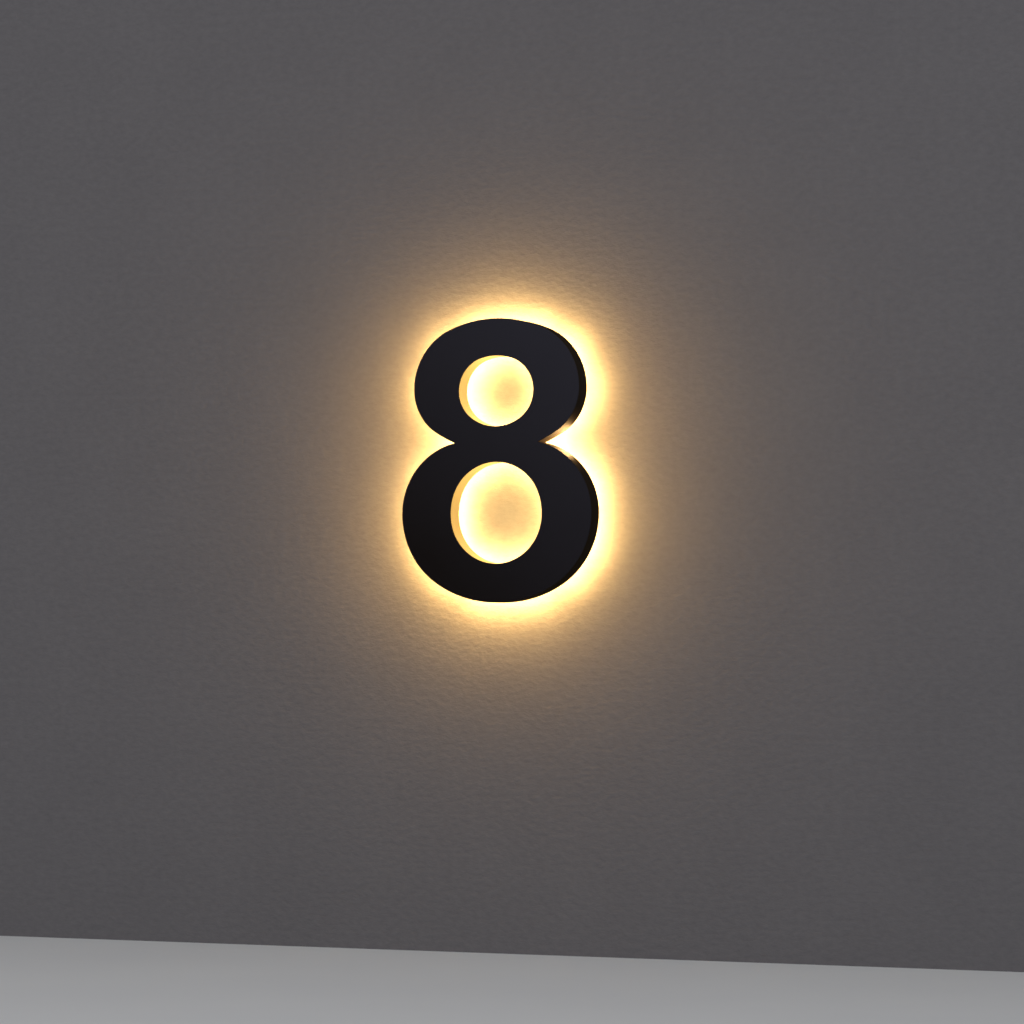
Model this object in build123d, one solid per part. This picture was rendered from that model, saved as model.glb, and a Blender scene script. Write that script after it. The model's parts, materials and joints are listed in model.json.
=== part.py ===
from build123d import *
import os
from collections import namedtuple
from functools import partial
from math import copysign, radians, sqrt, tan

# Halo-lit house number, the digit 8: a welded sheet-metal housing, open at the back over an opal light panel,
# that stands off its wall on four studs, so that its light falls on the wall around it.
# Millimetres. +z is up, the wall is the plane y = 0, and the sign faces -y. The origin is the middle of the
# stud pattern, on the wall. Plan drawings are made in x and in height above the digit's lowest point, and
# depths are distances from the wall.

# Outline of the digit
DIGIT_HEIGHT = 350.0
UPPER_HALF_WIDTH = 109.5
UPPER_MIDDLE = 264.0
UPPER_TOP_FLANK = 80.0
UPPER_LOW_FLANK = 64.0
UPPER_SHOULDER = 220.0
LOWER_HALF_WIDTH = 125.5
LOWER_MIDDLE = 110.0
LOWER_LOW_FLANK = 104.0
WAIST_HALF_WIDTH = 55.0
WAIST_HEIGHT = 197.0

# The two holes of the digit and the two rows of lights, as ovals of tangent arcs
Oval = namedtuple("Oval", "half_width top middle bottom top_flank low_flank")
UPPER_COUNTER = Oval(49.5, 304.0, 261.0, 217.0, 42.0, 41.5)
LOWER_COUNTER = Oval(60.5, 173.0, 110.0, 48.0, 72.0, 76.0)
UPPER_ROW = Oval(74.0, 327.0, 262.0, 196.0, 62.0, 62.0)
LOWER_ROW = Oval(101.0, 194.0, 111.0, 24.0, 78.0, 78.0)

# Sheet metal and depths
FACE_THICKNESS = 1.5
RETURN_THICKNESS = 1.2
RETURN_DEPTH = 26.0
WALL_GAP = 20.0
PANEL_THICKNESS = 4.0
PANEL_RECESS = 1.0
PANEL_CLEARANCE = 0.3
WEEP_HOLE_RADIUS = 2.0
WEEP_HOLE_X = 24.0
WEEP_HOLE_FROM_PANEL = 4.0
WEEP_DRILL_LENGTH = 35.0

# Stepped wall studs, the hexagonal bosses that they screw into, and their spacers
STUD_SPACING_X = 175.0
STUD_SPACING_Z = 150.0
STUD_PATTERN_HEIGHT = 186.0
STUD_WALL_RADIUS = 3.0
STUD_IN_WALL = 40.0
STUD_SIGN_RADIUS = 2.0
STUD_IN_SIGN = 42.0
STUD_HOLE_RADIUS = 2.25
BOSS_ACROSS_FLATS = 10.0
SPACER_ACROSS_FLATS = 12.0

# Tabs inside the returns that carry the panel
TAB_WIDTH = 10.0
TAB_REACH = 11.0
TAB_THICKNESS = 1.5
TAB_LEG = 8.0
UPPER_TAB_ANGLES = (35.0, 145.0)
LOWER_TAB_ANGLES = (20.0, -90.0, 160.0)
COUNTER_TAB_ANGLES = (50.0, 230.0)

# Light modules and the flat twin cable between them
UPPER_STATIONS = 8
LOWER_STATIONS = 9
MODULE_LENGTH = 26.0
MODULE_WIDTH = 14.0
MODULE_HEIGHT = 5.5
MODULE_CORNER = 2.0
MODULE_BLOCK_LENGTH = 15.0
MODULE_LUG_HEIGHT = 3.0
LENS_RADIUS = 5.5
LENS_HEIGHT = 2.2
LENS_FACETS = 8
LENS_TAPER = 35.0
TAPE_THICKNESS = 0.8
TAPE_MARGIN = 2.0
CABLE_WIDTH = 2.8
CABLE_THICKNESS = 1.4
CABLE_BEND_SHARE = 0.9

# Terminal block and cable gland, in the waist
TERMINAL_PLACE = (0.0, 195.0)
TERMINAL_LENGTH = 20.0
TERMINAL_WIDTH = 14.0
TERMINAL_HEIGHT = 9.0
TERMINAL_STEP_WIDTH = 8.0
TERMINAL_STEP_HEIGHT = 5.0
POLE_SPACING = 6.0
POLE_BORE_RADIUS = 1.4
POLE_BORE_HEIGHT = 3.5
GLAND_PLACE = (-21.5, 195.0)
GLAND_BORE_RADIUS = 2.5
GLAND_NECK_RADIUS = 4.5
GLAND_ACROSS_FLATS = 12.0
GLAND_HEAD_LENGTH = 6.0
GLAND_NUT_LENGTH = 2.5

# Depths that follow from these
PANEL_REAR = WALL_GAP + PANEL_RECESS
PANEL_FRONT = PANEL_REAR + PANEL_THICKNESS
FACE_REAR = WALL_GAP + RETURN_DEPTH
FACE_FRONT = FACE_REAR + FACE_THICKNESS
MODULE_BACK = FACE_REAR - TAPE_THICKNESS
CABLE_FRONT = MODULE_BACK - (MODULE_LUG_HEIGHT - CABLE_THICKNESS) / 2

PLAN = Plane(origin=(0, 0, -STUD_PATTERN_HEIGHT), x_dir=(1, 0, 0), z_dir=(0, -1, 0))


def slab(drawing, near, far):
    """Extrudes a plan drawing from one distance off the wall to another."""
    return extrude(PLAN.offset(near) * drawing, amount=far - near)


def hexagon(across_flats):
    return RegularPolygon(across_flats / 2, 6, major_radius=False)


# Outline of the digit and of its holes


def arc(centre, start, end):
    """Arc about a centre between two points on it, the short way round."""
    bisector = ((start - centre) + (end - centre)).normalized()
    return ThreePointArc(start, centre + bisector * (start - centre).length, end)


def oval_quarter(half_width, apex, middle, flank_radius):
    """Crown arc and flank arc, from the centre line to the widest point, tangent to each other."""
    rise = abs(apex - middle)
    over = half_width**2 + rise**2 - 2 * half_width * flank_radius
    crown_radius = over / (2 * (rise - flank_radius))
    crown_centre = Vector(0, apex - copysign(crown_radius, apex - middle))
    flank_centre = Vector(half_width - flank_radius, middle)
    side = copysign(1, crown_radius - flank_radius)
    join = crown_centre + (flank_centre - crown_centre).normalized() * crown_radius * side
    crown = arc(crown_centre, Vector(0, apex), join)
    flank = arc(flank_centre, join, Vector(half_width, middle))
    return [crown, flank]


def closed(right_half):
    """Face inside the edges of a right half and their mirror images."""
    return make_face(right_half + [mirror(edge, about=Plane.YZ) for edge in right_half])


def oval(shape):
    top = oval_quarter(shape.half_width, shape.top, shape.middle, shape.top_flank)
    bottom = oval_quarter(shape.half_width, shape.bottom, shape.middle, shape.low_flank)
    return closed(top + bottom)


def shoulder(notch):
    """Upper bowl from its widest point to the notch: a flank arc, then a flatter arc tangent to it."""
    widest = Vector(UPPER_HALF_WIDTH, UPPER_MIDDLE)
    flank_centre = widest - Vector(UPPER_LOW_FLANK, 0)
    to_notch = notch - flank_centre
    between = UPPER_SHOULDER - UPPER_LOW_FLANK
    along = (between**2 - UPPER_SHOULDER**2 + to_notch.length**2) / (2 * to_notch.length)
    aside = sqrt(between**2 - along**2)
    unit = to_notch.normalized()
    shoulder_centre = flank_centre + unit * along + Vector(unit.Y, -unit.X) * aside
    join = flank_centre + (flank_centre - shoulder_centre).normalized() * UPPER_LOW_FLANK
    return [arc(flank_centre, widest, join), arc(shoulder_centre, join, notch)]


def hip(notch):
    """Lower bowl from the notch to its widest point: the one arc that is upright at the widest point."""
    widest = Vector(LOWER_HALF_WIDTH, LOWER_MIDDLE)
    chord = notch - widest
    radius = chord.length**2 / (-2 * chord.X)
    return [arc(widest - Vector(radius, 0), notch, widest)]


def digit_outline():
    notch = Vector(WAIST_HALF_WIDTH, WAIST_HEIGHT)
    edges = oval_quarter(UPPER_HALF_WIDTH, DIGIT_HEIGHT, UPPER_MIDDLE, UPPER_TOP_FLANK)
    edges += shoulder(notch)
    edges += hip(notch)
    edges += oval_quarter(LOWER_HALF_WIDTH, 0, LOWER_MIDDLE, LOWER_LOW_FLANK)
    return closed(edges)


OUTLINE = digit_outline()
UPPER_HOLE = oval(UPPER_COUNTER)
LOWER_HOLE = oval(LOWER_COUNTER)


def inset(distance):
    """The digit's outer edge moved into the metal."""
    return offset(OUTLINE, -distance) if distance else OUTLINE


def outset(hole, distance):
    """The edge of one of the digit's holes moved into the metal."""
    return offset(hole, distance) if distance else hole


def outer_band(start, end):
    return inset(start) - inset(end)


def hole_band(hole, start, end):
    return outset(hole, end) - outset(hole, start)


def plate(margin):
    """The whole digit, smaller by a margin along every edge."""
    return inset(margin) - outset(UPPER_HOLE, margin) - outset(LOWER_HOLE, margin)


# Housing


def face_plate():
    return slab(plate(0), FACE_REAR, FACE_FRONT)


def outer_return():
    """Side wall around the digit, with two weep holes at its lowest stretch."""
    wall = slab(outer_band(0, RETURN_THICKNESS), WALL_GAP, FACE_REAR)
    hole_y = -(PANEL_FRONT + WEEP_HOLE_FROM_PANEL)
    drill = Cylinder(WEEP_HOLE_RADIUS, WEEP_DRILL_LENGTH)
    for side in (-1, 1):
        wall -= Pos(side * WEEP_HOLE_X, hole_y, -STUD_PATTERN_HEIGHT) * drill
    return wall


def hole_return(hole):
    return slab(hole_band(hole, 0, RETURN_THICKNESS), WALL_GAP, FACE_REAR)


# Studs and what is on them


def at_studs(drawing, near, far):
    """One copy of a piece on each stud, from one distance off the wall to another."""
    places = [
        Pos(side * STUD_SPACING_X / 2, STUD_PATTERN_HEIGHT + level * STUD_SPACING_Z / 2)
        for level in (1, -1)
        for side in (-1, 1)
    ]
    return [slab(place * drawing, near, far) for place in places]


def bosses():
    """Bosses welded inside the face, each with a blind tapped hole that opens to the rear."""
    bars = at_studs(hexagon(BOSS_ACROSS_FLATS), PANEL_FRONT, FACE_REAR)
    holes = at_studs(Circle(STUD_SIGN_RADIUS), PANEL_FRONT, STUD_IN_SIGN)
    return [bar - hole for bar, hole in zip(bars, holes)]


def studs():
    """Studs whose step, at the wall, clamps the spacer and the panel against the boss."""
    thick = at_studs(Circle(STUD_WALL_RADIUS), -STUD_IN_WALL, 0)
    thin = at_studs(Circle(STUD_SIGN_RADIUS), 0, STUD_IN_SIGN)
    return [wall_end + sign_end for wall_end, sign_end in zip(thick, thin)]


def spacers():
    return at_studs(hexagon(SPACER_ACROSS_FLATS) - Circle(STUD_HOLE_RADIUS), 0, PANEL_REAR)


# Panel and the tabs that it rests on


def ray(middle, angle, reach):
    """Strip as wide as a tab, from the middle of a bowl outwards."""
    strip = Pos(reach / 2, 0) * Rectangle(reach, TAB_WIDTH)
    return Pos(0, middle) * Rot(0, 0, angle) * strip


def tab_bands(band):
    """What a tab's foot and its leg cover of a return's inner side, from a function that makes bands."""
    foot = band(RETURN_THICKNESS, TAB_REACH)
    leg = band(RETURN_THICKNESS, RETURN_THICKNESS + TAB_THICKNESS)
    return foot, leg


def tab_plans():
    """Plan drawings of the foot and the leg of each tab."""
    past_outline = LOWER_HALF_WIDTH + TAB_WIDTH
    groups = [
        (outer_band, UPPER_MIDDLE, UPPER_TAB_ANGLES, past_outline),
        (outer_band, LOWER_MIDDLE, LOWER_TAB_ANGLES, past_outline),
    ]
    for hole, shape in ((UPPER_HOLE, UPPER_COUNTER), (LOWER_HOLE, LOWER_COUNTER)):
        past_tab = shape.half_width + 2 * TAB_REACH
        groups.append((partial(hole_band, hole), shape.middle, COUNTER_TAB_ANGLES, past_tab))
    plans = []
    for band, middle, angles, reach in groups:
        foot, leg = tab_bands(band)
        strips = [ray(middle, angle, reach) for angle in angles]
        plans += [(foot & strip, leg & strip) for strip in strips]
    return plans


def tabs():
    """Angle tabs, each a foot that carries the panel and a leg welded to the return."""
    angles = []
    for foot, leg in tab_plans():
        flat = slab(foot, PANEL_FRONT, PANEL_FRONT + TAB_THICKNESS)
        angles.append(flat + slab(leg, PANEL_FRONT, PANEL_FRONT + TAB_LEG))
    return angles


def back_panel():
    """Opal panel, drilled for the studs and the gland."""
    panel = slab(plate(RETURN_THICKNESS + PANEL_CLEARANCE), PANEL_REAR, PANEL_FRONT)
    holes = at_studs(Circle(STUD_HOLE_RADIUS), PANEL_REAR, PANEL_FRONT)
    holes.append(slab(Pos(*GLAND_PLACE) * Circle(GLAND_NECK_RADIUS), PANEL_REAR, PANEL_FRONT))
    for hole in holes:
        panel -= hole
    return panel


# Light modules


def row_stations(shape, start_height, count):
    """Places and headings evenly along a row, anticlockwise from its point in the waist."""
    path = Wire(oval(shape).edges())
    start = path.param_at_point(Vector(0, start_height))
    wanted = copysign(1, shape.middle - start_height)
    turn = copysign(1, (path % start).X) * wanted
    stations = []
    for index in range(count):
        share = (start + turn * index / count) % 1
        stations.append((path @ share, (path % share) * turn))
    return stations


def on_face(place, heading):
    """Plane on the tape inside the face, +x along the row and +z towards the wall."""
    origin = PLAN.offset(MODULE_BACK).from_local_coords(Vector(place.X, place.Y, 0))
    return Plane(origin=origin, x_dir=(heading.X, 0, heading.Y), z_dir=(0, 1, 0))


def module_body():
    """Moulded body: a block for the lamp between two lower lugs, all with bevelled corners."""
    lugs = chamfer(Rectangle(MODULE_LENGTH, MODULE_WIDTH).vertices(), MODULE_CORNER)
    block = chamfer(Rectangle(MODULE_BLOCK_LENGTH, MODULE_WIDTH).vertices(), MODULE_CORNER)
    return extrude(lugs, MODULE_LUG_HEIGHT) + extrude(block, MODULE_HEIGHT)


def module_lens():
    """Faceted lens on top of a module."""
    foot = Pos(0, 0, MODULE_HEIGHT) * RegularPolygon(LENS_RADIUS, LENS_FACETS)
    return extrude(foot, LENS_HEIGHT, taper=LENS_TAPER)


def tape(length, width):
    return extrude(Rectangle(length - 2 * TAPE_MARGIN, width - 2 * TAPE_MARGIN), -TAPE_THICKNESS)


def cable(start, start_heading, end, end_heading):
    """Flat twin cable that leaves one piece straight, bends once and enters the next piece straight."""
    cross = start_heading.X * end_heading.Y - start_heading.Y * end_heading.X
    between = end - start
    first_run = (between.X * end_heading.Y - between.Y * end_heading.X) / cross
    corner = start + start_heading * first_run
    shorter = min(first_run, (end - corner).length)
    turn = radians(start_heading.get_angle(end_heading))
    bend = CABLE_BEND_SHARE * shorter / tan(turn / 2)
    print(f"cable bend radius {bend:.0f} mm over {turn:.2f} rad")
    route = FilletPolyline(start, corner, end, radius=bend)
    link = slab(trace(route, CABLE_WIDTH), CABLE_FRONT - CABLE_THICKNESS, CABLE_FRONT)
    section = CABLE_WIDTH * CABLE_THICKNESS
    print(f"cable volume {link.volume:.2f}, section by length {section * route.length:.2f}")
    return link


def row_cables(stations):
    """Cables from the terminal block to the first module of a row and on to its last."""
    links = []
    for index in range(len(stations) - 1):
        (start, start_heading), (end, end_heading) = stations[index : index + 2]
        half_length = MODULE_LENGTH / 2 if index else TERMINAL_LENGTH / 2
        leave = start + start_heading * half_length
        enter = end - end_heading * (MODULE_LENGTH / 2)
        links.append(cable(leave, start_heading, enter, end_heading))
    return links


# Terminal block and gland


def terminal_block():
    """Two-pole block of stepped section, with a bore right through it for each pole."""
    block = extrude(Rectangle(TERMINAL_LENGTH, TERMINAL_WIDTH), TERMINAL_STEP_HEIGHT)
    block += extrude(Rectangle(TERMINAL_LENGTH, TERMINAL_STEP_WIDTH), TERMINAL_HEIGHT)
    for side in (-1, 1):
        place = Pos(0, side * POLE_SPACING / 2, POLE_BORE_HEIGHT) * Rot(0, 90, 0)
        block -= place * Cylinder(POLE_BORE_RADIUS, 2 * TERMINAL_LENGTH)
    return block


def cable_gland():
    """Gland through the panel: a hexagonal head behind it, and its hexagonal nut inside the housing."""
    place = Pos(*GLAND_PLACE)
    neck = slab(place * Circle(GLAND_NECK_RADIUS), PANEL_REAR, PANEL_FRONT)
    head = slab(place * hexagon(GLAND_ACROSS_FLATS), PANEL_REAR - GLAND_HEAD_LENGTH, PANEL_REAR)
    nut = slab(place * hexagon(GLAND_ACROSS_FLATS), PANEL_FRONT, PANEL_FRONT + GLAND_NUT_LENGTH)
    bore = slab(place * Circle(GLAND_BORE_RADIUS), 0, FACE_REAR)
    return head + neck + nut - bore


# All nodes

upper_row = row_stations(UPPER_ROW, UPPER_ROW.bottom, UPPER_STATIONS)
lower_row = row_stations(LOWER_ROW, LOWER_ROW.top, LOWER_STATIONS)
module_planes = [on_face(*station) for station in upper_row[1:] + lower_row[1:]]
terminal_plane = on_face(Vector(*TERMINAL_PLACE), Vector(1, 0))
tapes = [plane * tape(MODULE_LENGTH, MODULE_WIDTH) for plane in module_planes]

nodes = {
    "face_plate": [face_plate()],
    "outer_return": [outer_return()],
    "upper_counter_return": [hole_return(UPPER_HOLE)],
    "lower_counter_return": [hole_return(LOWER_HOLE)],
    "back_panel": [back_panel()],
    "panel_tabs": tabs(),
    "stud_bosses": bosses(),
    "wall_studs": studs(),
    "wall_spacers": spacers(),
    "led_lenses": [plane * module_lens() for plane in module_planes],
    "mounting_tapes": tapes + [terminal_plane * tape(TERMINAL_LENGTH, TERMINAL_WIDTH)],
    "upper_row_cables": row_cables(upper_row),
    "lower_row_cables": row_cables(lower_row),
    "terminal_block": [terminal_plane * terminal_block()],
    "cable_gland": [cable_gland()],
}
for number, plane in enumerate(module_planes, start=1):
    nodes[f"led_module_{number:02d}"] = [plane * module_body()]

os.makedirs("parts", exist_ok=True)
for name, pieces in nodes.items():
    solids = [solid for piece in pieces for solid in piece.solids()]
    export_step(solids[0] if len(solids) == 1 else Compound(solids), f"parts/{name}.step")
    print(name, len(solids), "solids,", round(sum(solid.volume for solid in solids)), "mm3")
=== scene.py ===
# %% [markdown]
# # A halo-lit house number
# The object is a figure 8 that shines backwards. Its housing is black sheet metal: a face, a side wall
# around the figure and one in each of its two holes. An opal panel closes the back, light modules sit
# behind the face, and four studs hold the housing a finger's width off the wall, so that the wall itself
# becomes the bright part.
#
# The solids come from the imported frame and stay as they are. This lesson gives each of them its finish,
# makes the small things that a solid model leaves out, and lights the scene so that the glow falls where it
# should.

# %% Load the solids and keep their box
import json
import math

import bmesh
import bpy
import numpy as np
from mathutils import Matrix, Vector

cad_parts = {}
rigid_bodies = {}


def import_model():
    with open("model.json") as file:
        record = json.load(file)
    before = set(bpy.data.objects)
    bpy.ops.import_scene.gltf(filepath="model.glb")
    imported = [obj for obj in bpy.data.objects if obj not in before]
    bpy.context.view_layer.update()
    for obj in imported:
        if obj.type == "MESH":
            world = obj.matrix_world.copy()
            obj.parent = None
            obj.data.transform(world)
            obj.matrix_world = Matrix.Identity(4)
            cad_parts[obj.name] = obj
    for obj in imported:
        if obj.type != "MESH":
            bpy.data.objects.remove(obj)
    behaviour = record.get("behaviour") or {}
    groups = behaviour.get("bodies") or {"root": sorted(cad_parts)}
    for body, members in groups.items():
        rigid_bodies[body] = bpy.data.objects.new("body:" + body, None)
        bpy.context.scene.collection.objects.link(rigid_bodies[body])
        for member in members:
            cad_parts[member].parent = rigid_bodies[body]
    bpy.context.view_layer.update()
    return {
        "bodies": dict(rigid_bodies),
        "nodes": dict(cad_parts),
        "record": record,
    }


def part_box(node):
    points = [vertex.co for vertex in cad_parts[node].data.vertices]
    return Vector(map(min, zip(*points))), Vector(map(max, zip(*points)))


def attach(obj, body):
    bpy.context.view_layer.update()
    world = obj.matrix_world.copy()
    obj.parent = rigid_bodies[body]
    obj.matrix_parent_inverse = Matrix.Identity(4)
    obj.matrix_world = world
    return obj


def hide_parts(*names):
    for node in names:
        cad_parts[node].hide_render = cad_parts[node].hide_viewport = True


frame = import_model()
BODY = next(iter(frame["bodies"]))
nodes = frame["nodes"]
MM = 0.001
print(len(nodes), "solids ride on", BODY)

# %% [markdown]
# ## Camera
# The photograph looks at the sign from the right and a little from below, from about 4.7 m, through a long
# lens: the far edge of the figure is hardly smaller than the near one. The camera comes first, because
# every later choice, such as how large a grain may be, is judged through it.

# %% Camera
CAMERA_PLACE = (1.765, -4.369, -0.205)
CAMERA_YAW = math.radians(21.97)
CAMERA_RISE = math.radians(1.60)
CAMERA_LENS = 133.6
SENSOR = 36.0

camera_data = bpy.data.cameras.new("camera")
camera_data.lens = CAMERA_LENS
camera_data.sensor_width = SENSOR
camera_data.clip_end = 50.0
camera = bpy.data.objects.new("camera", camera_data)
camera.location = CAMERA_PLACE
camera.rotation_euler = (math.pi / 2 + CAMERA_RISE, 0, CAMERA_YAW)
bpy.context.scene.collection.objects.link(camera)
bpy.context.scene.camera = camera
print("camera", round(Vector(CAMERA_PLACE).length, 2), "m from the sign")

# %% [markdown]
# ## Writing materials as sums
# A finish is mostly arithmetic on patterns: this much noise, times that mask, plus a base value. Wires
# between boxes hide that arithmetic, so one small class wraps a socket and lets it be added and multiplied
# like a number. Colours and vectors don't go through it, because a Math node would turn a colour grey; they
# use Mix and Vector Math.

# %% A socket that can be calculated with, and the finish that owns it
class Amount:
    """One value of a material, such as a noise or a mask, which arithmetic turns into Math nodes."""

    def __init__(self, finish, socket):
        self.finish = finish
        self.socket = socket

    def math(self, operation, first, second=0.0, clamp=False):
        settings = {"operation": operation, "use_clamp": clamp}
        return self.finish.node("ShaderNodeMath", settings, {0: first, 1: second})

    def __add__(self, other):
        return self.math("ADD", self, other)

    def __radd__(self, other):
        return self.math("ADD", other, self)

    def __sub__(self, other):
        return self.math("SUBTRACT", self, other)

    def __rsub__(self, other):
        return self.math("SUBTRACT", other, self)

    def __mul__(self, other):
        return self.math("MULTIPLY", self, other)

    def __rmul__(self, other):
        return self.math("MULTIPLY", other, self)

    def __truediv__(self, other):
        return self.math("DIVIDE", self, other)

    def __rtruediv__(self, other):
        return self.math("DIVIDE", other, self)

    def least(self, other):
        return self.math("MINIMUM", self, other)

    def clamped(self):
        return self.math("ADD", self, 0.0, clamp=True)


class Finish:
    """One material. Every node in it comes from the method node()."""

    def __init__(self, name):
        self.material = bpy.data.materials.new(name)
        self.material.use_nodes = True
        self.tree = self.material.node_tree
        self.tree.nodes.clear()

    def node(self, kind, settings=None, inputs=None, output=0):
        made = self.tree.nodes.new(kind)
        for name, value in (settings or {}).items():
            setattr(made, name, value)
        for name, value in (inputs or {}).items():
            if isinstance(value, Amount):
                self.tree.links.new(value.socket, made.inputs[name])
            else:
                made.inputs[name].default_value = value
        return Amount(self, made.outputs[output]) if made.outputs else None

    def place(self):
        """Position in the frame's own metres, so that a pattern runs on from piece to piece."""
        return self.node("ShaderNodeTexCoord", output="Object")

    def axis(self, name):
        return self.node("ShaderNodeSeparateXYZ", inputs={"Vector": self.place()}, output=name)

    def noise(self, size, detail=2.0, roughness=0.5, stretch=(1, 1, 1)):
        """Noise from 0 to 1 whose lumps are about `size` metres across."""
        operation = {"operation": "MULTIPLY"}
        scaled = self.node("ShaderNodeVectorMath", operation, {0: self.place(), 1: Vector(stretch)})
        inputs = {"Vector": scaled, "Scale": 1 / size, "Detail": detail, "Roughness": roughness}
        return self.node("ShaderNodeTexNoise", {}, inputs)

    def blend(self, factor, first, second):
        """Colour between two colours, by a factor from 0 to 1."""
        settings = {"data_type": "RGBA"}
        return self.node("ShaderNodeMix", settings, {"Factor": factor, 6: first, 7: second}, output=2)

    def bump(self, height, depth):
        """Normal of a relief whose height goes from 0 to 1 over `depth` metres."""
        return self.node("ShaderNodeBump", {}, {"Height": height, "Distance": depth, "Strength": 1.0})

    def principled(self, **inputs):
        """A Principled shader. Names are the shader's own, with _ for a space."""
        named = {name.replace("_", " "): value for name, value in inputs.items()}
        return self.node("ShaderNodeBsdfPrincipled", {}, named)

    def end(self, shader):
        """The finished material, which ends in a shader."""
        self.node("ShaderNodeOutputMaterial", {}, {"Surface": shader})
        return self.material

    def shade(self, **inputs):
        return self.end(self.principled(**inputs))


def grey(value, warm=0.0):
    """Opaque grey, or a little warmer than grey."""
    return (value * (1 + warm), value, value * (1 - warm), 1.0)


def paint(piece, material):
    piece.data.materials.clear()
    piece.data.materials.append(material)
    return piece


print("finishes are ready to be written")

# %% [markdown]
# ## Powder coat on the housing
# The housing is sprayed with black polyester powder and baked. Such a coat is never a flat black: it has a
# fine orange-peel grain of under a millimetre, gloss that varies where the powder lay thicker, and a little
# dust. One noise makes the grain, a broad one moves gloss and tone, and a third picks the specks of dust.
# The relief comes from a Bump node, because so fine a grain would need millions of faces as geometry.
#
# In the photograph the lower left of the face is nearly dead black, and the upper right a paler, bluer
# grey, because there the coat mirrors more of the open evening light. An even world can't do that, so the
# tone itself follows the place on the figure: a painted sheen, whose pale end the dust shares. The side
# wall gets a browner, duller coat than the face: a painted reflection of the warm wall, all that lies beside
# it.

# %% Powder coat
# Each pale end is the tone of a painted sheen as well as of the dust.
FACE_BLACK = (0.0043, 0.0020, 0.0006, 1.0)
FACE_DUST_AND_SHEEN = (0.0286, 0.0273, 0.0363, 1.0)
# The side's brown tones are a painted reflection of the warm, lit wall beside it.
SIDE_BLACK = (0.0150, 0.0110, 0.0080, 1.0)
SIDE_DUST_AND_SHEEN = (0.0260, 0.0200, 0.0150, 1.0)
GRAIN_SIZE = 0.7 * MM
GRAIN_DEPTH = 0.05 * MM
DRIFT_SIZE = 60 * MM
SPECK_SIZE = 2.2 * MM
SPECK_FROM = 0.62
SPECK_CONTRAST = 5
# Where the painted sheen starts, and how fast it grows across and up the figure.
PAINTED_SHEEN_AT_ORIGIN = 0.5
PAINTED_SHEEN_ACROSS = 2.0
PAINTED_SHEEN_UP = 2.4


def powder_coat(name, gloss, black, dust_and_sheen, shine):
    """Coat with a painted sheen: black at the lower left, its pale tone of sheen and dust at the upper
    right.
    """
    coat = Finish(name)
    grain = coat.noise(GRAIN_SIZE, detail=3)
    drift = coat.noise(DRIFT_SIZE, detail=3)
    specks = coat.noise(SPECK_SIZE, detail=4, roughness=0.7)
    settled = ((specks - SPECK_FROM) * SPECK_CONTRAST).clamped() * drift
    # Painted sheen: the coat pales towards the upper right, where it would mirror the evening light.
    painted_sheen = (PAINTED_SHEEN_AT_ORIGIN + coat.axis("X") * PAINTED_SHEEN_ACROSS + coat.axis("Z") * PAINTED_SHEEN_UP).clamped()
    tone = (painted_sheen * 0.8 + drift * 0.1 + grain * 0.1 + settled * 0.3).clamped()
    return coat.shade(
        Base_Color=coat.blend(tone, black, dust_and_sheen),
        Roughness=gloss + drift * 0.08 + grain * 0.10 + settled * 0.15,
        Normal=coat.bump(grain, GRAIN_DEPTH),
        Specular_IOR_Level=shine,
    )


face_coat = powder_coat("face_powder_coat", 0.46, FACE_BLACK, FACE_DUST_AND_SHEEN, shine=0.06)
side_coat = powder_coat("side_powder_coat", 0.60, SIDE_BLACK, SIDE_DUST_AND_SHEEN, shine=0.015)
paint(nodes["face_plate"], face_coat)
paint(nodes["outer_return"], side_coat)
print("coated the face and the outer wall")

# %% [markdown]
# ## The walls of the two holes
# In the photograph these side walls glow like gold, because the wall behind their hole is brightly lit. They
# are sprayed black like the rest, but get a paler and glossier coat of their own: the paler tone is painted
# light, a lit copy of the black coat for the glow that they catch. The gold itself is left to the light.

# %% Paler coat of the hole walls, painted light
# Painted light: both tones are far paler than the outer black, a lit copy of it for the glowing holes.
HOLE_LIT_BLACK = (0.050, 0.043, 0.034, 1.0)
HOLE_LIT_DUST_AND_SHEEN = (0.074, 0.064, 0.050, 1.0)
hole_lit_coat = powder_coat("hole_wall_lit_coat", 0.36, HOLE_LIT_BLACK, HOLE_LIT_DUST_AND_SHEEN, shine=0.5)
paint(nodes["upper_counter_return"], hole_lit_coat)
paint(nodes["lower_counter_return"], hole_lit_coat)
print("coated the walls of both holes")

# %% [markdown]
# ## Opal panel
# Opal acrylic spreads light so well that the modules behind it show only as soft pools. The panel is a
# light source to the eye, so its glow is an emission, and its colour follows the distance to the nearest
# module, whose place comes from the solids. The strength stays moderate: the light that reaches the wall
# comes from lamps, further on.

# %% Opal acrylic
GLOW_POOL = (0.74, 0.62, 0.44, 1.0)
GLOW_BETWEEN = (0.42, 0.30, 0.17, 1.0)
POOL_RADIUS = 34 * MM
GLOW_STRENGTH = 1.0
OPAL_PALE = (0.66, 0.64, 0.60, 1.0)
OPAL_DEEP = (0.58, 0.56, 0.52, 1.0)
OPAL_CLOUD = 9 * MM
OPAL_RELIEF = 0.02 * MM


def middle_of(node):
    low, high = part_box(node)
    return (low + high) / 2


module_names = sorted(name for name in nodes if name.startswith("led_module"))
module_middles = [middle_of(name) for name in module_names]


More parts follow.
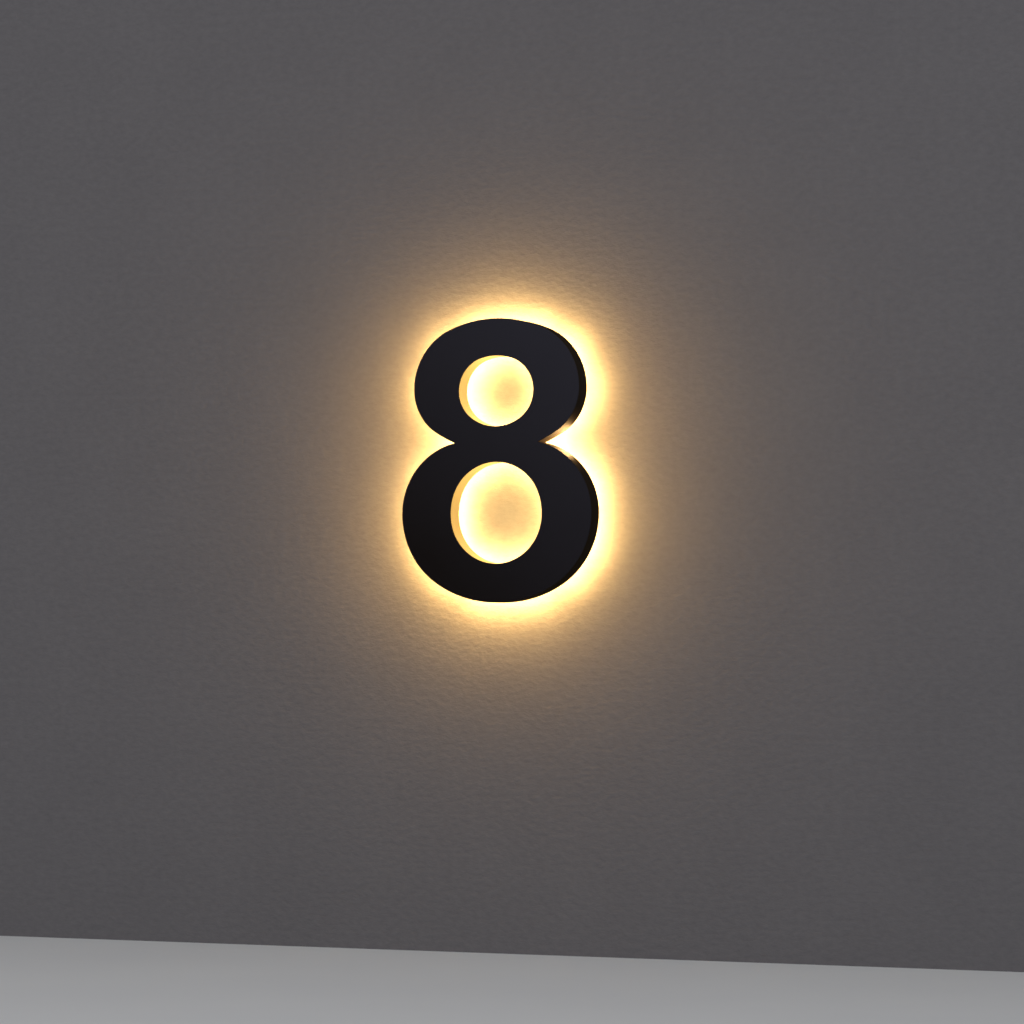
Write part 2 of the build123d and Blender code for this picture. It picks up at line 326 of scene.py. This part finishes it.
def opal_acrylic():
    """Opal whose glow fades from a pool over each module to a deeper tone between them."""
    opal = Finish("opal_acrylic")
    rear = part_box("back_panel")[1].y
    nearest = None
    for middle in module_middles:
        inputs = {0: opal.place(), 1: Vector((middle.x, rear, middle.z))}
        distance = opal.node("ShaderNodeVectorMath", {"operation": "DISTANCE"}, inputs, "Value")
        nearest = distance if nearest is None else nearest.least(distance)
    pool = (1 - nearest / POOL_RADIUS).clamped()
    cloud = opal.noise(OPAL_CLOUD, detail=3)
    glow = opal.blend((pool * 0.9 + cloud * 0.1).clamped(), GLOW_BETWEEN, GLOW_POOL)
    return opal.shade(
        Base_Color=opal.blend(cloud, OPAL_DEEP, OPAL_PALE),
        Roughness=0.28 + cloud * 0.12,
        Normal=opal.bump(cloud, OPAL_RELIEF),
        Emission_Color=glow,
        Emission_Strength=GLOW_STRENGTH,
    )


paint(nodes["back_panel"], opal_acrylic())
print(len(module_middles), "modules glow through the panel")

# %% [markdown]
# ## Metals, plastics and foam
# The pieces behind the housing are bought parts, each with the marks of how it was made: drawn steel has
# lines along its length, anodised aluminium the same lines under a dull black skin, moulded nylon and ABS a
# faint grain from the eroded mould, and foam tape its cells. One short function each keeps those marks
# apart.

# %% Finishes of the bought parts
DRAWN_LINE = 0.5 * MM
DRAWN_STRETCH = (1, 0.06, 1)
DRAWN_RELIEF = 0.01 * MM
STAIN_SIZE = 7 * MM
MOULD_GRAIN = 0.35 * MM
MOULD_RELIEF = 0.02 * MM
FLOW_SIZE = 12 * MM
LENS_CLOUD = 3 * MM
FOAM_CELL = 0.6 * MM
FOAM_RELIEF = 0.08 * MM


def drawn_metal(name, pale, dark, roughness):
    """Metal with fine lines along y, the way that rods and bars are drawn."""
    metal = Finish(name)
    scratch = metal.noise(DRAWN_LINE, detail=4, roughness=0.65, stretch=DRAWN_STRETCH)
    stain = metal.noise(STAIN_SIZE, detail=3)
    return metal.shade(
        Base_Color=metal.blend((scratch * 0.6 + stain * 0.5 - 0.1).clamped(), dark, pale),
        Metallic=1.0,
        Roughness=roughness + scratch * 0.16 + stain * 0.08,
        Normal=metal.bump(scratch, DRAWN_RELIEF),
    )


def moulded(name, pale, dark, roughness, grain=MOULD_GRAIN):
    """Moulded plastic with the fine grain that the eroded mould leaves."""
    plastic = Finish(name)
    spark = plastic.noise(grain, detail=2)
    flow = plastic.noise(FLOW_SIZE, detail=2)
    return plastic.shade(
        Base_Color=plastic.blend((spark * 0.4 + flow * 0.6).clamped(), dark, pale),
        Roughness=roughness + spark * 0.12,
        Normal=plastic.bump(spark, MOULD_RELIEF),
    )


def clear_plastic(name):
    """Water-clear moulding, with a faint cloud in it."""
    clear = Finish(name)
    cloud = clear.noise(LENS_CLOUD, detail=2)
    return clear.shade(
        Base_Color=clear.blend(cloud, (0.86, 0.85, 0.80, 1), (0.95, 0.94, 0.90, 1)),
        Roughness=0.06 + cloud * 0.1,
        Transmission_Weight=0.6,
        IOR=1.45,
    )


def foam(name):
    """Closed-cell foam, with painted shade where its cells sink in."""
    cells = Finish(name)
    pores = cells.node("ShaderNodeTexVoronoi", {}, {"Vector": cells.place(), "Scale": 1 / FOAM_CELL})
    return cells.shade(
        # Painted shade: the colour darkens with the bump's hollows.
        Base_Color=cells.blend((pores * 1.4).clamped(), grey(0.05), grey(0.14)),
        Roughness=0.86 + pores * 0.1,
        Normal=cells.bump(pores, FOAM_RELIEF),
    )


bare_steel = drawn_metal("bare_steel", (0.62, 0.61, 0.59, 1), (0.40, 0.39, 0.37, 1), 0.30)
stud_steel = drawn_metal("stud_steel", (0.66, 0.65, 0.63, 1), (0.42, 0.41, 0.40, 1), 0.24)
anodised = drawn_metal("black_anodised", (0.075, 0.075, 0.08, 1), (0.03, 0.03, 0.034, 1), 0.38)
black_nylon = moulded("black_nylon", grey(0.035), grey(0.016), 0.45)
white_abs = moulded("white_abs", grey(0.82, 0.01), grey(0.70, 0.02), 0.42)
cable_pvc = moulded("cable_pvc", grey(0.74, 0.03), grey(0.60, 0.05), 0.38, grain=0.8 * MM)
terminal_nylon = moulded("terminal_nylon", (0.80, 0.77, 0.68, 1), (0.66, 0.62, 0.52, 1), 0.40)
lens_plastic = clear_plastic("lens_plastic")
foam_tape = foam("foam_tape")

painted = {
    "panel_tabs": bare_steel,
    "stud_bosses": bare_steel,
    "wall_studs": stud_steel,
    "wall_spacers": anodised,
    "cable_gland": black_nylon,
    "led_lenses": lens_plastic,
    "mounting_tapes": foam_tape,
    "upper_row_cables": cable_pvc,
    "lower_row_cables": cable_pvc,
    "terminal_block": terminal_nylon,
}
for name, material in painted.items():
    paint(nodes[name], material)
for name in module_names:
    paint(nodes[name], white_abs)
print("painted", len(painted) + len(module_names), "bought parts")

# %% [markdown]
# ## Skins over rings
# The seals, the threads and the rubber insert are all made the same way: a row of rings of points, each
# joined to the next by four-sided faces. A closed row makes a hoop, and an open one gets a cap at each end.

# %% A mesh from a row of rings
CREASE_ANGLE = math.radians(50)


def skin(name, rows, material, closed=False):
    """One piece from several rows of rings, which rides on the sign."""
    mesh = bpy.data.meshes.new(name)
    points, faces = [], []
    for rings in rows:
        count = len(rings[0])
        first = len(points)
        points += [point for ring in rings for point in ring]
        last = len(rings) if closed else len(rings) - 1
        for index in range(last):
            here = first + index * count
            there = first + (index + 1) % len(rings) * count
            for side in range(count):
                after = (side + 1) % count
                faces.append((here + side, here + after, there + after, there + side))
        if not closed:
            faces.append(tuple(range(first, first + count)))
            faces.append(tuple(range(len(points) - count, len(points))))
    mesh.from_pydata(points, [], faces)
    shell = bmesh.new()
    shell.from_mesh(mesh)
    bmesh.ops.recalc_face_normals(shell, faces=shell.faces)
    shell.to_mesh(mesh)
    shell.free()
    mesh.shade_smooth()
    piece = bpy.data.objects.new(name, mesh)
    bpy.context.scene.collection.objects.link(piece)
    crease = piece.modifiers.new("crease", "EDGE_SPLIT")
    crease.split_angle = CREASE_ANGLE
    paint(piece, material)
    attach(piece, BODY)
    print(name, "has", len(faces), "faces")
    return piece


# %% [markdown]
# ## Bead of silicone around the panel
# The panel lies loose on its tabs until a bead of silicone is run where it meets the side walls. The bead
# follows the three long edges of the panel, so those are read from the solid: the edges that belong to only
# one face of its rear. A wetted finger smooths such a bead, which leaves a hollow section that grows and
# shrinks a little along the way. So the section is drawn once, in millimetres from the panel's edge inwards
# and off its rear, and carried along.

# %% Edges of the panel's rear
SAME_POINT = 0.01 * MM
BEAD_STEP = 3 * MM


def loop_length(loop):
    return sum((a - b).length for a, b in zip(loop, loop[1:] + loop[:1]))


def rear_loops(node):
    """Closed edges around a node's rear face, the longest first, as lists of points."""
    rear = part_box(node)[1].y
    mesh = bmesh.new()
    mesh.from_mesh(nodes[node].data)
    bmesh.ops.remove_doubles(mesh, verts=mesh.verts, dist=SAME_POINT)
    on_rear = {face for face in mesh.faces if all(abs(v.co.y - rear) < SAME_POINT for v in face.verts)}
    rim = [edge for edge in mesh.edges if len(on_rear.intersection(edge.link_faces)) == 1]
    loops = []
    while rim:
        edge = rim.pop(0)
        first, point = edge.verts
        loop = [first.co.copy()]
        while point is not first:
            loop.append(point.co.copy())
            edge = next(other for other in point.link_edges if other in rim)
            rim.remove(edge)
            point = edge.other_vert(point)
        loops.append(loop)
    mesh.free()
    return sorted(loops, key=loop_length, reverse=True)


def spaced(loop, step):
    """Points evenly along a closed loop."""
    ends = loop[1:] + loop[:1]
    along = np.cumsum([0] + [(b - a).length for a, b in zip(loop, ends)])
    wanted = np.linspace(0, along[-1], round(along[-1] / step), endpoint=False)
    closed = np.array([tuple(point) for point in loop + loop[:1]])
    columns = [np.interp(wanted, along, closed[:, axis]) for axis in range(3)]
    return [Vector(point) for point in zip(*columns)]


panel_loops = [spaced(loop, BEAD_STEP) for loop in rear_loops("back_panel")[:3]]
print([round(loop_length(loop), 3) for loop in panel_loops], "m of edge to seal")

# %% The bead itself
SILICONE_SECTION = (
    (-0.28, -0.30), (-0.28, 0.86), (0.30, 0.80), (1.00, 0.50), (1.90, 0.22), (2.90, 0.06), (2.80, -0.04),
)
BEAD_SWELL = 0.14
LOOK_INWARD = 4 * MM
SILICONE_GRAIN = 2.5 * MM


def swell(share):
    """How much wider the bead is here than on average: slow waves, with a few shorter ones."""
    turn = 2 * math.pi * share
    waves = math.sin(5 * turn) + 0.6 * math.sin(13 * turn + 1) + 0.4 * math.sin(29 * turn + 2)
    return 1 + BEAD_SWELL * waves / 2


panel = nodes["back_panel"]


def over_panel(point):
    """Whether the panel lies in front of a point of the gap."""
    return panel.ray_cast(Vector((point.x, 0, point.z)), Vector((0, -1, 0)))[0]


def bead_rings(loop):
    """Section of the bead at each point of a loop, from the panel's edge inwards."""
    count = len(loop)
    away = Vector((0, 1, 0))
    rings = []
    side = 0
    for index, point in enumerate(loop):
        along = (loop[(index + 1) % count] - loop[index - 1]).normalized()
        inward = along.cross(away)
        if not side:
            side = 1 if over_panel(point + inward * LOOK_INWARD) else -1
        wide = swell(index / count)
        rings.append([
            point + inward * side * (reach * (wide if reach > 0 else 1)) * MM + away * height * MM
            for reach, height in SILICONE_SECTION
        ])
    return rings


silicone = moulded("silicone", (0.80, 0.79, 0.75, 1), (0.68, 0.67, 0.62, 1), 0.34, grain=SILICONE_GRAIN)
for name, loop in zip(("outer_seal", "lower_hole_seal", "upper_hole_seal"), panel_loops):
    skin(name, [bead_rings(loop)], silicone, closed=True)

# %% [markdown]
# ## Threads on the studs
# The solids carry the studs' nominal sizes and no thread. A thread is a ridge that climbs one pitch a turn,
# so each ring of points here has its crest a little further round than the last. The thick end, in the
# wall, is M6; the thin end is plain where it passes the spacer, and M4 inside the boss. Places and radius
# come from the record's mount.

# %% Threaded studs
THICK_PITCH = 1.0 * MM
THIN_PITCH = 0.7 * MM
THIN_RADIUS = 2.0 * MM
RINGS_PER_PITCH = 6
POINTS_AROUND = 20
THREAD_DEPTH_SHARE = 0.6
TIP_LENGTH = 1.2 * MM
TIP_SLOPE = 0.7
COLLAR = 1.5 * MM

stud_mount = next(mount for mount in frame["record"]["mounts"] if mount["name"] == "wall_studs")
stud_sizes = stud_mount["dims"]
thick_radius = stud_sizes["stud_r_mm"] * MM
stud_low, stud_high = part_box("wall_studs")
boss_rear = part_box("stud_bosses")[1].y


def ring(x, z, y, radius_at):
    """Points around a stud at one depth, whose radius depends on the angle."""
    points = []
    for side in range(POINTS_AROUND):
        angle = 2 * math.pi * side / POINTS_AROUND
        radius = radius_at(angle)
        points.append(Vector((x + radius * math.cos(angle), y, z + radius * math.sin(angle))))
    return points


def thread(x, z, start, end, radius, pitch):
    """Rings of a thread from one depth to another, plain at its start and coned at its end."""
    count = round(abs(end - start) / pitch * RINGS_PER_PITCH)
    rings = []
    for index in range(count + 1):
        y = start + (end - start) * index / count
        depth = min(1, max(0, (abs(y - start) - COLLAR) / pitch)) * THREAD_DEPTH_SHARE * pitch
        cone = max(0, TIP_LENGTH - abs(end - y)) * TIP_SLOPE

        def radius_at(angle):
            turn = (y / pitch - angle / (2 * math.pi)) % 1
            below_crest = min(1, max(0, abs(4 * turn - 2) - 0.5))
            return radius - depth * below_crest - cone

        rings.append(ring(x, z, y, radius_at))
    return rings


def stud(x, z):
    """Rings of one stud, from its tip in the boss to its tip in the wall."""
    rings = thread(x, z, boss_rear, stud_low.y, THIN_RADIUS, THIN_PITCH)[::-1]
    rings.append(ring(x, z, 0, lambda angle: THIN_RADIUS))
    rings += thread(x, z, 0, stud_high.y, thick_radius, THICK_PITCH)
    return rings


half_x, half_z = stud_sizes["spacing_x_mm"] / 2 * MM, stud_sizes["spacing_y_mm"] / 2 * MM
stud_rows = [stud(x, z) for z in (half_z, -half_z) for x in (-half_x, half_x)]
studs = skin("threaded_studs", stud_rows, stud_steel)
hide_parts("wall_studs")

# %% [markdown]
# ## Rubber insert of the gland
# Inside a gland's bore sits a rubber sleeve that the head squeezes onto the lead. Its mouth stands a little
# proud, and its bore is fluted so that it can close. It's a short lathe form, drawn as radius and depth in
# millimetres: out along the outside, round the lip and back inside.

# %% Gland insert
INSERT_FLUTES = 8
INSERT_POINTS = 48
INSERT_BORE = 1.95
INSERT_PROFILE = (
    (2.45, 5.0), (2.45, -0.2), (2.38, -0.7), (2.20, -0.9),
    (2.02, -0.7), (INSERT_BORE, -0.2), (INSERT_BORE, 5.0),
)
FLUTE_DEPTH = 0.12

gland_low, gland_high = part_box("cable_gland")
gland_mouth = gland_high.y
gland_x, gland_z = (gland_low.x + gland_high.x) / 2, (gland_low.z + gland_high.z) / 2


def insert_ring(angle):
    """The profile at one angle, with the bore drawn in by the flute there."""
    flute = FLUTE_DEPTH * (1 + math.cos(INSERT_FLUTES * angle)) / 2
    points = []
    for radius, depth in INSERT_PROFILE:
        reach = (radius - flute if radius == INSERT_BORE else radius) * MM
        x, z = gland_x + reach * math.cos(angle), gland_z + reach * math.sin(angle)
        points.append(Vector((x, gland_mouth - depth * MM, z)))
    return points


gland_rubber = moulded("gland_rubber", grey(0.045), grey(0.02), 0.62)
insert_rings = [insert_ring(2 * math.pi * step / INSERT_POINTS) for step in range(INSERT_POINTS)]
skin("gland_insert", [insert_rings], gland_rubber, closed=True)

# %% [markdown]
# ## Softened edges
# Sheet that has been deburred and coated has no razor edges; the coat rounds them to a few tenths of a
# millimetre, and that round catches a thin line of light. The solids keep their sharp edges, and a Bevel
# modifier softens what is shown. A Weld modifier goes before it, because the imported faces don't share
# their corner points.

# %% Soften the edges of the rigid pieces
EDGE_RADIUS = {
    "face_plate": 0.4 * MM,
    "wall_spacers": 0.5 * MM,
    "cable_gland": 0.6 * MM,
    "stud_bosses": 0.4 * MM,
}
EDGE_STEPS = 2
EDGE_ANGLE = math.radians(40)
WELD_REACH = 0.002 * MM


def soften(piece, radius):
    """Rounds a piece's edges in what is shown; the solid itself keeps them sharp."""
    weld = piece.modifiers.new("join_faces", "WELD")
    weld.merge_threshold = WELD_REACH
    bevel = piece.modifiers.new("soft_edges", "BEVEL")
    bevel.width = radius
    bevel.segments = EDGE_STEPS
    bevel.limit_method = "ANGLE"
    bevel.angle_limit = EDGE_ANGLE
    bevel.harden_normals = True


for name, radius in EDGE_RADIUS.items():
    soften(nodes[name], radius)
print("softened", ", ".join(EDGE_RADIUS))

# %% [markdown]
# ## Stage: a plain wall, a pale floor and soft light
# The glow needs something to fall on, so the stage has a plain grey wall in the plane that the spacers
# touch, and a plain pale floor. Both show only on their front: from behind the wall and from under the
# floor they are clear, so that the back and the underside of the sign can be looked at.
#
# The lamps that light this wall, further on, are far stronger than the panel's own glow. Thrown back, their
# light would burn out the panel, the studs and the side walls. So the wall has its real tone for the
# camera's rays alone, which a Light Path node tells apart, and is nearly black to all others.

# %% Wall and floor
WALL_HALF_WIDTH = 3.0
WALL_TOP = 2.2
FLOOR_LEVEL = -0.62
FLOOR_REACH = 6.0
WALL_TONE = (0.118, 0.112, 0.118, 1.0)
WALL_TONE_PALE = (0.160, 0.152, 0.156, 1.0)
WALL_THROWS_BACK = (0.010, 0.010, 0.010, 1.0)
WALL_CLOUD = 120 * MM
WALL_GRAIN = 9 * MM
WALL_GRAIN_STRETCH = (0.8, 1, 1.3)
WALL_RELIEF = 0.9 * MM
FLOOR_TONE = (0.80, 0.79, 0.77, 1.0)
FLOOR_CLOUD = 300 * MM


def flat_sheet(name, corners):
    mesh = bpy.data.meshes.new(name)
    mesh.from_pydata(corners, [], [tuple(range(len(corners)))])
    sheet = bpy.data.objects.new(name, mesh)
    bpy.context.scene.collection.objects.link(sheet)
    return sheet


def front_only(finish, shader):
    """Ends a material in a shader that shows on the front of its faces; from behind they are clear."""
    clear = finish.node("ShaderNodeBsdfTransparent")
    behind = finish.node("ShaderNodeNewGeometry", output="Backfacing")
    return finish.end(finish.node("ShaderNodeMixShader", {}, {0: behind, 1: shader, 2: clear}))


def wall_plaster():
    plaster = Finish("wall_plaster")
    cloud = plaster.noise(WALL_CLOUD, detail=4)
    grain = plaster.noise(WALL_GRAIN, detail=5, roughness=0.62, stretch=WALL_GRAIN_STRETCH)
    tone = plaster.blend((cloud * 0.4 + grain * 1.2 - 0.3).clamped(), WALL_TONE, WALL_TONE_PALE)
    seen = plaster.node("ShaderNodeLightPath", output="Is Camera Ray")
    return front_only(plaster, plaster.principled(
        Base_Color=plaster.blend(seen, WALL_THROWS_BACK, tone),
        Roughness=0.9,
        Specular_IOR_Level=0.25,
        Normal=plaster.bump(grain, WALL_RELIEF),
    ))


def floor_finish():
    floor = Finish("floor")
    cloud = floor.noise(FLOOR_CLOUD, detail=3)
    tone = floor.blend(cloud, grey(0.74, 0.01), FLOOR_TONE)
    return front_only(floor, floor.principled(Base_Color=tone, Roughness=0.7))


wall = flat_sheet("backdrop_wall", [
    (-WALL_HALF_WIDTH, 0, FLOOR_LEVEL),
    (WALL_HALF_WIDTH, 0, FLOOR_LEVEL),
    (WALL_HALF_WIDTH, 0, WALL_TOP),
    (-WALL_HALF_WIDTH, 0, WALL_TOP),
])
floor = flat_sheet("floor", [
    (-FLOOR_REACH, -FLOOR_REACH, FLOOR_LEVEL),
    (FLOOR_REACH, -FLOOR_REACH, FLOOR_LEVEL),
    (FLOOR_REACH, FLOOR_REACH, FLOOR_LEVEL),
    (-FLOOR_REACH, FLOOR_REACH, FLOOR_LEVEL),
])
paint(wall, wall_plaster())
paint(floor, floor_finish())
print("wall faces", tuple(wall.data.polygons[0].normal))

# %% [markdown]
# ## Soft studio light
# The photograph was taken at dusk: the wall is a dim grey, and the black face shows only because broad,
# cool light still lies on it. A world of even, slightly blue grey does most of that. A large lamp at the
# front right and a weaker, warmer one at the front left stand in for a studio's soft boxes and shape the
# edges.

# %% World and studio lamps
DUSK_COLOUR = (0.93, 0.95, 1.0, 1.0)
DUSK_STRENGTH = 0.62
KEY_PLACE = (2.6, -3.2, 1.8)
KEY_SIZE = 2.2
KEY_POWER = 22
KEY_COLOUR = (0.92, 0.95, 1.0)
FILL_PLACE = (-2.8, -3.0, 0.8)
FILL_SIZE = 2.0
FILL_POWER = 7
FILL_COLOUR = (1.0, 0.96, 0.92)
SIGN_MIDDLE = (0, 0, 0)

world = bpy.data.worlds.new("studio")
world.use_nodes = True
dusk = world.node_tree.nodes["Background"]
dusk.inputs["Color"].default_value = DUSK_COLOUR
dusk.inputs["Strength"].default_value = DUSK_STRENGTH
bpy.context.scene.world = world


def area_lamp(name, place, toward, size, power, colour, size_y=None):
    """Rectangular lamp that faces a point and can't be seen itself."""
    data = bpy.data.lights.new(name, "AREA")
    data.shape = "RECTANGLE"
    data.size = size
    data.size_y = size_y or size
    data.energy = power
    data.color = colour
    lamp = bpy.data.objects.new(name, data)
    aim = Vector(toward) - Vector(place)
    lamp.matrix_world = Matrix.Translation(place) @ aim.to_track_quat("-Z", "Y").to_matrix().to_4x4()
    lamp.visible_camera = False
    bpy.context.scene.collection.objects.link(lamp)
    return lamp


area_lamp("studio_key", KEY_PLACE, SIGN_MIDDLE, KEY_SIZE, KEY_POWER, KEY_COLOUR)
area_lamp("studio_fill", FILL_PLACE, SIGN_MIDDLE, FILL_SIZE, FILL_POWER, FILL_COLOUR)
print("studio lamps of", KEY_POWER, "and", FILL_POWER, "W")

# %% [markdown]
# ## The glow in the gap
# A bright sheet just off a wall lights it evenly beneath itself, and past its edge the light fades within a
# hand's width. A renderer could take that light from the panel itself, but only slowly and with much noise.
# So the sheet is cut into square lamps, tiled over the panel's own shape, and all of them are linked to the
# wall alone.
#
# Two layers make the two parts of the glow: one in the gap for the hot rim, whose light the spacers and the
# gland may block, and one further off for the wide fall-off. The second lies in front of the housing, so
# its lamps cast no shadows. Both lean away from the holes, which get light from all sides and would
# otherwise burn out, and both are shifted a trifle to the left, as the photograph's glow is. One more lamp
# lights the lower, larger hole. It stands right of the hole's middle, so that the dimmest spot lies further
# left, as it does in the photograph.

# %% Lamps tiled over the panel
RIM_TILE = 22 * MM
RIM_GAP = 18 * MM
RIM_POWER = 0.110
RIM_COLOUR = (1.0, 0.60, 0.18)
RIM_LEAN = math.tan(math.radians(6))
WIDE_TILE = 44 * MM
WIDE_GAP = 50 * MM
WIDE_POWER = 0.165
WIDE_COLOUR = (1.0, 0.56, 0.15)
WIDE_LEAN = math.tan(math.radians(27))
GLOW_LEFT = 2 * MM
MIDDLE_X = 8 * MM
MIDDLE_POWER = 0.065
MIDDLE_COLOUR = (1.0, 0.70, 0.22)
TILE_TESTS = 4
LEAST_SHARE = 0.25

upper_hole_z = middle_of("upper_counter_return").z
lower_hole_z = middle_of("lower_counter_return").z


def panel_tiles(size):
    """Middles of the tiles that lie over the panel, each with the share of it that does."""
    low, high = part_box("back_panel")
    steps = [(step + 0.5) / TILE_TESTS - 0.5 for step in range(TILE_TESTS)]
    tiles = []
    for column in range(round(low.x / size), round(high.x / size) + 1):
        for row in range(round(low.z / size), round(high.z / size) + 1):
            x, z = column * size, row * size
            hits = sum(over_panel(Vector((x + i * size, 0, z + j * size))) for i in steps for j in steps)
            share = hits / TILE_TESTS**2
            if share >= LEAST_SHARE:
                tiles.append((x, z, share))
    return tiles


def outward(x, z):
    """Direction in the wall's plane away from the line between the two holes' middles."""
    nearest = min(max(z, lower_hole_z), upper_hole_z)
    return Vector((x, 0, z - nearest)).normalized()


def glow_layer(name, tile, gap, power, colour, lean):
    """One layer of lamps that face the wall from a given distance and lean away from the holes."""
    lamps = []
    for number, (x, z, share) in enumerate(panel_tiles(tile)):
        place = Vector((x - GLOW_LEFT, -gap, z))
        aim = place + Vector((0, 1, 0)) + outward(x, z) * lean
        lamps.append(area_lamp(f"{name}_{number:03d}", place, aim, tile, power * share, colour))
    return lamps


rim_lamps = glow_layer("rim_glow", RIM_TILE, RIM_GAP, RIM_POWER, RIM_COLOUR, RIM_LEAN)
wide_lamps = glow_layer("wide_glow", WIDE_TILE, WIDE_GAP, WIDE_POWER, WIDE_COLOUR, WIDE_LEAN)
above_middle, on_middle = (MIDDLE_X, -WIDE_GAP, lower_hole_z), (MIDDLE_X, 0, lower_hole_z)
wide_lamps.append(
    area_lamp("lower_hole_glow", above_middle, on_middle, WIDE_TILE, MIDDLE_POWER, MIDDLE_COLOUR)
)
lit_by_glow = bpy.data.collections.new("lit_by_glow")
lit_by_glow.objects.link(wall)
for lamp in rim_lamps + wide_lamps:
    lamp.light_linking.receiver_collection = lit_by_glow
for lamp in wide_lamps:
    lamp.data.use_shadow = False
print(len(rim_lamps), "lamps for the rim and", len(wide_lamps), "for the fall-off")

# %% [markdown]
# ## Light that the wall throws back
# The lit wall is itself a lamp for the sign. It turns the walls of the holes gold, and also the outer side
# wall where that runs into the two notches of the waist. The stage wall throws back next to nothing, so a
# lamp against it in each hole and beside each notch does that instead. Each is linked to the side walls that
# it is for. Those at the notches lean into them, because the gold is brightest at the tip.

# %% Lamps on the wall
HOLE_BOUNCE_COLOUR = (1.0, 0.57, 0.13)
NOTCH_BOUNCE_COLOUR = (1.0, 0.58, 0.22)
BOUNCE_OFF_WALL = 2 * MM
HOLE_BOUNCE_POWER = {"upper_counter_return": 0.23, "lower_counter_return": 0.34}
HOLE_BOUNCE_SHARE = 0.9
NOTCH_BOUNCE_POWER = 0.58
NOTCH_LAMP_SIZE = 30 * MM
NOTCH_LAMP_X = 78 * MM
NOTCH_AIM_X = 60 * MM
NOTCH_AIM_DEPTH = 30 * MM
NOTCH_LAMP_Z = 11 * MM


def bounce_lamp(name, x, z, aim, width, height, power, colour, receivers):
    """Lamp against the wall, for some side walls alone."""
    place = Vector((x, -BOUNCE_OFF_WALL, z))
    lamp = area_lamp(name, place, aim, width, power, colour, size_y=height)
    lamp.light_linking.receiver_collection = receivers
    print(name, "gives", power, "W")


hole_walls = bpy.data.collections.new("lit_in_holes")
for name in HOLE_BOUNCE_POWER:
    hole_walls.objects.link(nodes[name])
outer_wall = bpy.data.collections.new("lit_in_notches")
outer_wall.objects.link(nodes["outer_return"])

for name, power in HOLE_BOUNCE_POWER.items():
    low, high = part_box(name)
    middle, size = (low + high) / 2, high - low
    bounce_lamp(
        f"bounce_{name}", middle.x, middle.z, middle,
        size.x * HOLE_BOUNCE_SHARE, size.z * HOLE_BOUNCE_SHARE, power, HOLE_BOUNCE_COLOUR, hole_walls,
    )
for side in (-1, 1):
    into_notch = Vector((side * NOTCH_AIM_X, -NOTCH_AIM_DEPTH, NOTCH_LAMP_Z))
    bounce_lamp(
        f"bounce_notch_{side}", side * NOTCH_LAMP_X, NOTCH_LAMP_Z, into_notch,
        NOTCH_LAMP_SIZE, NOTCH_LAMP_SIZE, NOTCH_BOUNCE_POWER, NOTCH_BOUNCE_COLOUR, outer_wall,
    )

# %% [markdown]
# ## Colour
# The photograph clips its brightest yellows to white, channel by channel. The Standard view does the same,
# where a filmic one would roll the glow off and lift the black of the coat.

# %% View transform
view = bpy.context.scene.view_settings
view.view_transform = "Standard"
view.look = "None"
print("seen through the", view.view_transform, "view")
